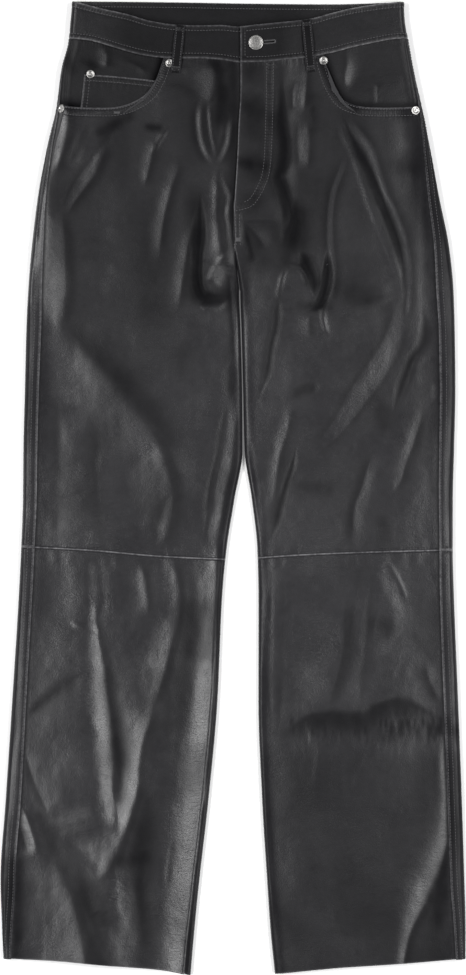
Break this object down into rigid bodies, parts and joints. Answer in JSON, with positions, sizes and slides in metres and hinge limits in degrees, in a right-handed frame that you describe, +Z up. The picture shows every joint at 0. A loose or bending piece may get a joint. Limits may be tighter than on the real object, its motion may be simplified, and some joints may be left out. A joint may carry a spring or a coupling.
{
  "type": "leather trousers",
  "caption": "Black leather straight-leg trousers laid flat, front up, with curved front pockets, knee seams, belt loops, a metal button and raw-cut hems.",
  "frame": {"origin": "middle of the garment's footprint, on the surface it lies on", "axes": "+X to the wearer's left, +Y to the waist, +Z up out of the front side"},
  "size_m": [0.5298, 1.1094, 0.0228],
  "materials": {
    "leather": "black smooth grain leather, soft sheen",
    "leather_trim": "black smooth grain leather, soft sheen, topstitched",
    "metal": "satin nickel"
  },
  "bodies": {
    "root": {"front_upper_right": "leather", "front_upper_left": "leather", "front_lower_right": "leather", "front_lower_left": "leather", "back_upper_right": "leather", "back_upper_left": "leather", "back_lower_right": "leather", "back_lower_left": "leather", "waistband": "leather_trim", "fly_facing": "leather_trim", "fly_underlap": "leather_trim", "hip_facing_right": "leather_trim", "hip_facing_left": "leather_trim", "coin_pocket": "leather_trim", "belt_loop_front_right": "leather_trim", "belt_loop_front_left": "leather_trim", "belt_loop_back_right": "leather_trim", "belt_loop_back_left": "leather_trim", "belt_loop_back_centre": "leather_trim", "waist_button": "metal", "rivet_mouth_right": "metal", "rivet_mouth_left": "metal", "rivet_outseam_right": "metal", "rivet_outseam_left": "metal", "rivet_coin_pocket": "metal"}
  },
  "joints": []
}
